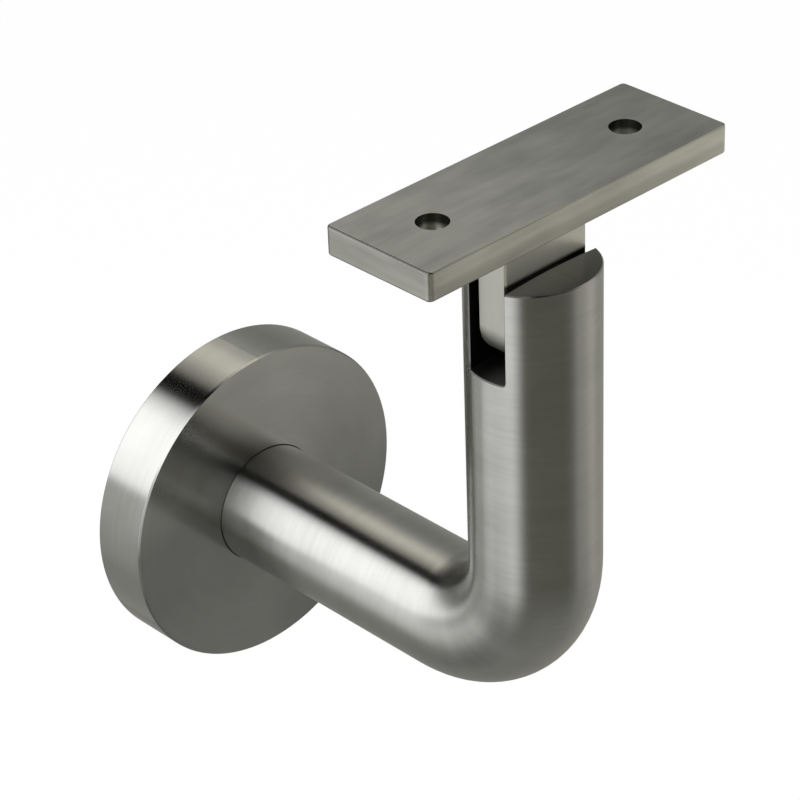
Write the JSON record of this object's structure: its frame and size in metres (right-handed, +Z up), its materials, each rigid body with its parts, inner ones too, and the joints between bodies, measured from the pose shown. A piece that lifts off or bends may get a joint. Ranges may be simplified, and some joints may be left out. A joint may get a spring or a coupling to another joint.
{
  "type": "handrail bracket",
  "caption": "Wall bracket for a handrail: round cover, bent round bar with a slotted top, and a tilting flat saddle with two screw holes.",
  "frame": {"origin": "centre of the wall face, on the axis of the arm", "axes": "+Y into the wall, +Z up to the rail, X along the rail; the arm comes out of the wall along -Y"},
  "size_m": [0.065, 0.089, 0.12],
  "materials": {
    "brushed_bar": "satin, brushed round the bar",
    "brushed_cover": "satin, turned",
    "brushed_saddle": "satin, brushed along the rail",
    "brushed_blade": "satin",
    "plain_steel": "turned, not polished",
    "screw_steel": "bright",
    "ring_rubber": "matt"
  },
  "bodies": {
    "bracket": {"wall_plate": "plain_steel", "bracket_arm": "brushed_bar", "arm_fixing_screw": "screw_steel", "locating_pin": "screw_steel", "pivot_screw": "screw_steel", "washer_wall_side": "screw_steel", "washer_rail_side": "screw_steel"},
    "saddle": {"saddle_blade": "brushed_blade", "saddle_plate": "brushed_saddle"},
    "cover": {"cover_rose": "brushed_cover", "cover_ring": "ring_rubber"}
  },
  "joints": [
    {"name": "saddle_tilt", "type": "hinge", "parent": "bracket", "child": "saddle", "pos_m": [0, -0.078, 0.068], "axis": [0, 1, 0], "range_deg": [-90, 90]},
    {"name": "cover_slide", "type": "slide", "parent": "bracket", "child": "cover", "axis": [0, -1, 0], "range_m": [0, 0.044]}
  ]
}
